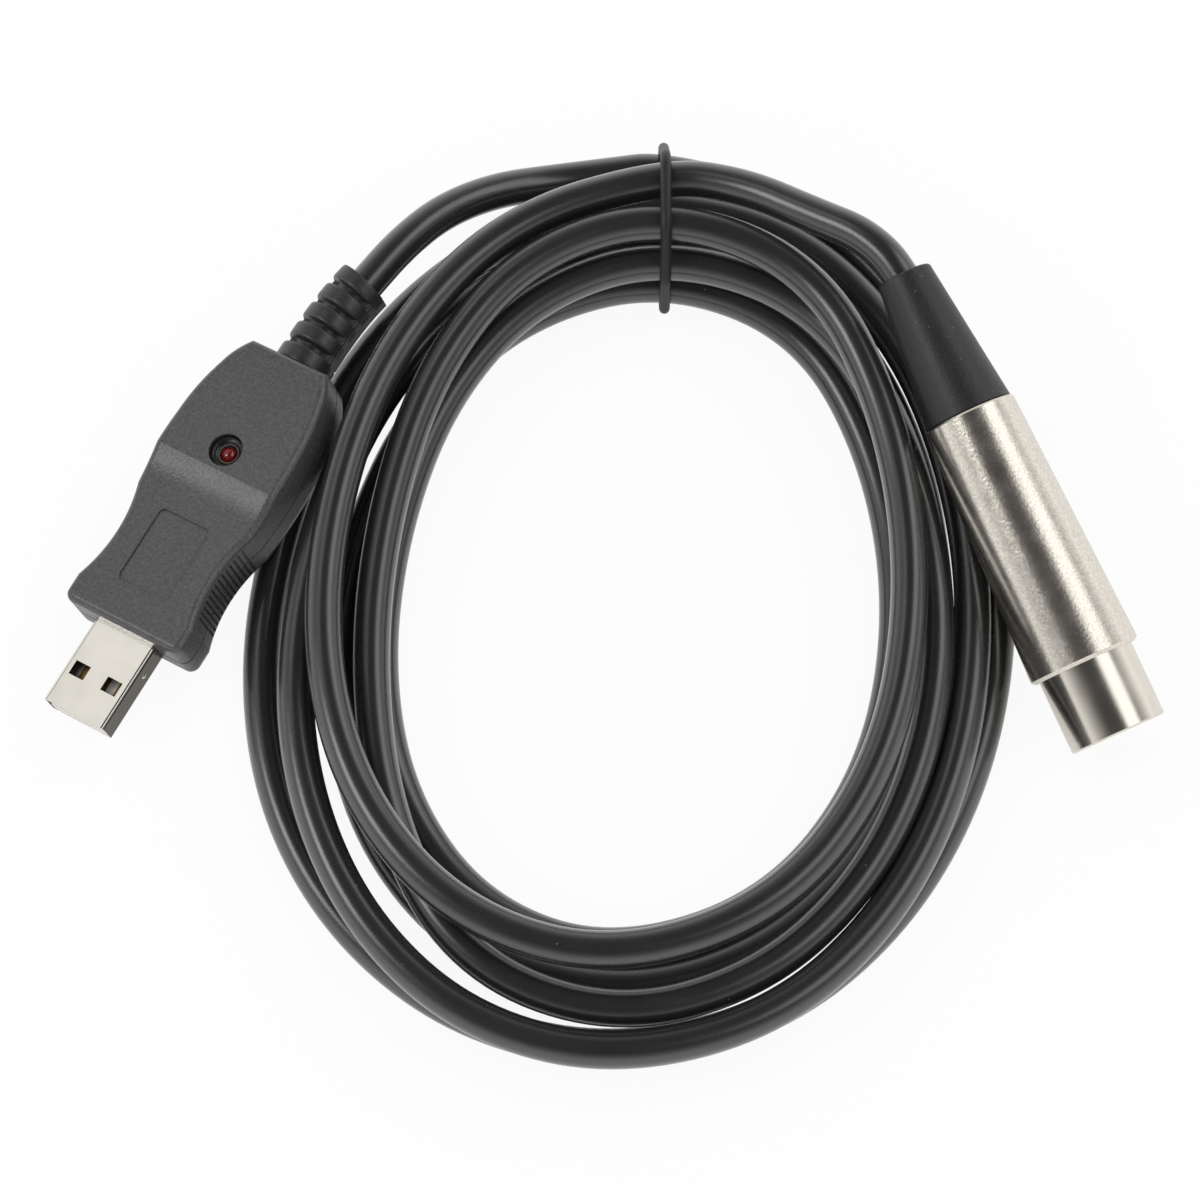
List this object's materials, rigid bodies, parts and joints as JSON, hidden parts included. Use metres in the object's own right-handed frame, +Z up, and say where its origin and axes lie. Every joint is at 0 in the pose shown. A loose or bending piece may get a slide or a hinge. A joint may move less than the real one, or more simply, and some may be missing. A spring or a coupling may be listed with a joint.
{
  "type": "xlr microphone cable coil",
  "caption": "Coiled microphone cable held by an elastic tie, with a ribbed computer plug at one end and a nickel XLR socket at the other.",
  "frame": {"origin": "bottom centre of the whole object's box, on the surface it lies on", "axes": "+Z up from that surface, +X to the right in the picture, from the computer plug's side to the XLR socket's, +Y away from the viewer, towards the tie"},
  "size_m": [0.1788, 0.161, 0.0305],
  "materials": {
    "cable_jacket": "satin black flexible PVC",
    "tie_rubber": "black elastic",
    "plug_steel": "nickel-plated sheet steel, slightly warm",
    "white_insulator": "white moulded plastic",
    "housing_plastic": "dark grey fine-grained plastic",
    "red_lens": "dark red clear plastic",
    "tinned_lead": "tinned wire",
    "board_green": "green solder mask",
    "chip_black": "black moulded package",
    "crystal_can": "drawn steel can",
    "capacitor_tan": "tan ceramic",
    "relief_plastic": "black soft plastic",
    "nickel_smooth": "smooth nickel plate",
    "nickel_satin": "bead-blasted nickel plate",
    "boot_rubber": "matte black moulded rubber",
    "insert_plastic": "black moulded plastic",
    "spring_steel": "bare spring steel",
    "gold_contact": "gold flash",
    "silver_contact": "silver plate",
    "wire_insulation": "coloured PVC"
  },
  "bodies": {
    "cable": {"cable_coil": "cable_jacket", "coil_tie": "tie_rubber", "usb_plug_shell": "plug_steel", "usb_plug_insulator": "white_insulator", "usb_contact_1": "gold_contact", "usb_contact_2": "gold_contact", "usb_contact_3": "gold_contact", "usb_contact_4": "gold_contact", "usb_housing_top": "housing_plastic", "usb_housing_bottom": "housing_plastic", "usb_led": "red_lens", "usb_led_lead_1": "tinned_lead", "usb_led_lead_2": "tinned_lead", "usb_circuit_board": "board_green", "usb_converter_chip": "chip_black", "usb_crystal": "crystal_can", "usb_capacitor_1": "capacitor_tan", "usb_capacitor_2": "capacitor_tan", "usb_strain_relief": "relief_plastic", "usb_wire_1": "wire_insulation", "usb_wire_2": "wire_insulation", "usb_wire_3": "wire_insulation", "xlr_nose_sleeve": "nickel_smooth", "xlr_body_sleeve": "nickel_satin", "xlr_boot": "boot_rubber", "xlr_insert": "insert_plastic", "xlr_contact_1": "silver_contact", "xlr_contact_2": "silver_contact", "xlr_contact_3": "silver_contact", "xlr_latch_pin": "spring_steel", "xlr_latch_spring": "spring_steel", "xlr_cable_clamp": "insert_plastic", "xlr_wire_1": "wire_insulation", "xlr_wire_2": "wire_insulation", "xlr_wire_3": "wire_insulation"},
    "latch": {"xlr_latch": "nickel_smooth"}
  },
  "joints": [
    {"name": "latch_press", "type": "hinge", "parent": "cable", "child": "latch", "pos_m": [0.07334, 0.00142, 0.01022], "axis": [-0.755, -0.194, -0.6263], "range_deg": [0, 4], "stiffness_Nm_per_rad": 0.02, "springref_deg": -11.46}
  ]
}
